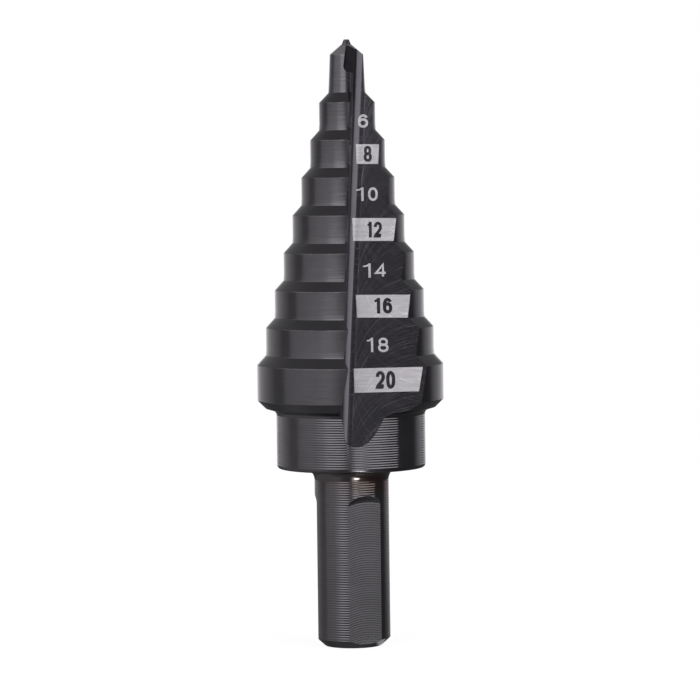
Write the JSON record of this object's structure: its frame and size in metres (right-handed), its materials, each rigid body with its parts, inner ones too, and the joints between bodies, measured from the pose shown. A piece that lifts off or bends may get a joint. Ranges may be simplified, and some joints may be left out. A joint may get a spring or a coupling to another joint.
{
  "type": "step drill",
  "caption": "Stepped conical drill bit in blackened tool steel, with slanting ground flutes, a split point with a centring spur, a plain collar and a round shank with milled flats.",
  "frame": {"origin": "centre of the flat end of the shank", "axes": "+Z along the axis from the shank to the point, -Y faces the flute that carries the size numbers, +X to the right of it"},
  "size_m": [0.02, 0.02, 0.0653],
  "materials": {
    "blackened_steel": "satin black oxide"
  },
  "bodies": {
    "root": {"step_drill": "blackened_steel"}
  },
  "joints": []
}
